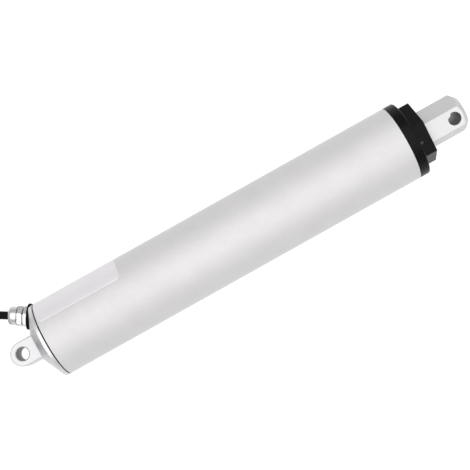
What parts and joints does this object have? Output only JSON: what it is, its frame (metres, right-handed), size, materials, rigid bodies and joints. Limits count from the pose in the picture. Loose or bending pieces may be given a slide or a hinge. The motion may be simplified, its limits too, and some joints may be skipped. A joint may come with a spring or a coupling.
{
  "type": "linear actuator",
  "caption": "Tubular electric linear actuator: sealed round housing with rear eye and cable gland, motor and planetary gearbox turning a screw that drives a hexagonal rod end.",
  "frame": {"origin": "centre of the rear eye's hole, on the tube's axis", "axes": "+X along the tube towards the rod end, +Z along the rear eye's hole, +Y towards the side with the cable gland"},
  "size_m": [0.4979, 0.1039, 0.06],
  "materials": {
    "cast_aluminium": "fine cast, satin",
    "anodised_aluminium": "satin silver anodised",
    "bright_aluminium": "machined, bright satin",
    "plain_aluminium": "machined",
    "label_foil": "satin silver foil, blank",
    "black_plastic": "moulded glass-filled, satin",
    "black_rubber": "moulded",
    "nickel_plate": "bright nickel on brass",
    "cable_jacket": "smooth extruded",
    "tie_nylon": "moulded",
    "core_insulation": "glossy extruded",
    "tinned_copper": "tinned",
    "motor_steel": "zinc plated",
    "ferrite": "sintered",
    "white_plastic": "moulded",
    "bronze": "sintered or turned",
    "carbon": "pressed",
    "zinc_screws": "zinc plated",
    "gear_steel": "sintered, oiled",
    "bearing_steel": "ground",
    "rod_steel": "polished",
    "screw_steel": "rolled, greased",
    "circuit_board": "solder mask",
    "copper": "enamelled or bare copper",
    "set_screw_steel": "black oxide"
  },
  "bodies": {
    "barrel": {"rear_end_cap": "cast_aluminium", "rear_gasket": "black_rubber", "outer_tube": "anodised_aluminium", "rating_label": "label_foil", "gland_washer": "black_rubber", "gland_body": "nickel_plate", "gland_dome_nut": "nickel_plate", "gland_seal": "black_rubber", "cable_run": "cable_jacket", "cable_coil": "cable_jacket", "cable_tail": "cable_jacket", "cable_tie": "tie_nylon", "cable_cores": "core_insulation", "core_ferrules": "tinned_copper", "inner_wires": "core_insulation", "motor_can": "motor_steel", "motor_magnets": "ferrite", "motor_end_bell": "white_plastic", "motor_bushes": "bronze", "motor_brushes": "carbon", "motor_screws": "zinc_screws", "gearbox_rear_plate": "plain_aluminium", "ring_gear": "gear_steel", "gearbox_front_plate": "plain_aluminium", "gearbox_screws": "zinc_screws", "bearing_housing": "plain_aluminium", "bearing_outer_races": "bearing_steel", "bearing_balls": "bearing_steel", "bearing_circlip": "screw_steel", "limit_switch_board": "circuit_board", "limit_switches": "black_plastic", "front_gland": "black_plastic", "front_set_screw": "set_screw_steel", "rod_guide_bush": "bronze", "rod_seal": "black_rubber", "rod_wiper": "black_rubber", "front_o_ring": "black_rubber"},
    "rod": {"rod_end": "bright_aluminium", "piston_rod": "rod_steel", "drive_nut": "bronze", "guide_collar": "white_plastic"},
    "screw": {"lead_screw": "screw_steel", "bearing_inner_races": "bearing_steel", "screw_lock_nut": "screw_steel", "screw_end_stop": "screw_steel", "carrier_2": "gear_steel"},
    "carrier_1": {"carrier_1": "gear_steel", "sun_gear_2": "gear_steel"},
    "rotor": {"motor_shaft": "screw_steel", "motor_laminations": "motor_steel", "motor_windings": "copper", "motor_commutator": "copper", "sun_gear_1": "gear_steel"},
    "planet_1a": {"planet_1a": "gear_steel"},
    "planet_1b": {"planet_1b": "gear_steel"},
    "planet_1c": {"planet_1c": "gear_steel"},
    "planet_2a": {"planet_2a": "gear_steel"},
    "planet_2b": {"planet_2b": "gear_steel"},
    "planet_2c": {"planet_2c": "gear_steel"}
  },
  "joints": [
    {"name": "motor_spin", "type": "hinge", "parent": "barrel", "child": "rotor", "pos_m": [0.08, 0, 0], "axis": [-1, 0, 0], "range_deg": [0, 243000]},
    {"name": "rod_slide", "type": "slide", "parent": "barrel", "child": "rod", "axis": [1, 0, 0], "range_m": [0, 0.1]},
    {"name": "screw_spin", "type": "hinge", "parent": "barrel", "child": "screw", "pos_m": [0.165, 0, 0], "axis": [-1, 0, 0], "continuous": true},
    {"name": "carrier_1_spin", "type": "hinge", "parent": "barrel", "child": "carrier_1", "pos_m": [0.1265, 0, 0], "axis": [-1, 0, 0], "continuous": true},
    {"name": "planet_1a_spin", "type": "hinge", "parent": "carrier_1", "child": "planet_1a", "pos_m": [0.12, 0.01215, 0], "axis": [-1, 0, 0], "continuous": true},
    {"name": "planet_1b_spin", "type": "hinge", "parent": "carrier_1", "child": "planet_1b", "pos_m": [0.12, -0.00607, 0.01052], "axis": [-1, 0, 0], "continuous": true},
    {"name": "planet_1c_spin", "type": "hinge", "parent": "carrier_1", "child": "planet_1c", "pos_m": [0.12, -0.00607, -0.01052], "axis": [-1, 0, 0], "continuous": true},
    {"name": "planet_2a_spin", "type": "hinge", "parent": "screw", "child": "planet_2a", "pos_m": [0.136, 0.01215, 0], "axis": [-1, 0, 0], "continuous": true},
    {"name": "planet_2b_spin", "type": "hinge", "parent": "screw", "child": "planet_2b", "pos_m": [0.136, -0.00607, 0.01052], "axis": [-1, 0, 0], "continuous": true},
    {"name": "planet_2c_spin", "type": "hinge", "parent": "screw", "child": "planet_2c", "pos_m": [0.136, -0.00607, -0.01052], "axis": [-1, 0, 0], "continuous": true}
  ],
  "couplings": [
    {"joint": "rod_slide", "follows": "motor_spin", "m_per_rad": 0.000023579},
    {"joint": "screw_spin", "follows": "motor_spin", "ratio": 0.049383},
    {"joint": "carrier_1_spin", "follows": "motor_spin", "ratio": 0.22222},
    {"joint": "planet_1a_spin", "follows": "motor_spin", "ratio": -0.62222},
    {"joint": "planet_1b_spin", "follows": "motor_spin", "ratio": -0.62222},
    {"joint": "planet_1c_spin", "follows": "motor_spin", "ratio": -0.62222},
    {"joint": "planet_2a_spin", "follows": "motor_spin", "ratio": -0.13827},
    {"joint": "planet_2b_spin", "follows": "motor_spin", "ratio": -0.13827},
    {"joint": "planet_2c_spin", "follows": "motor_spin", "ratio": -0.13827}
  ]
}
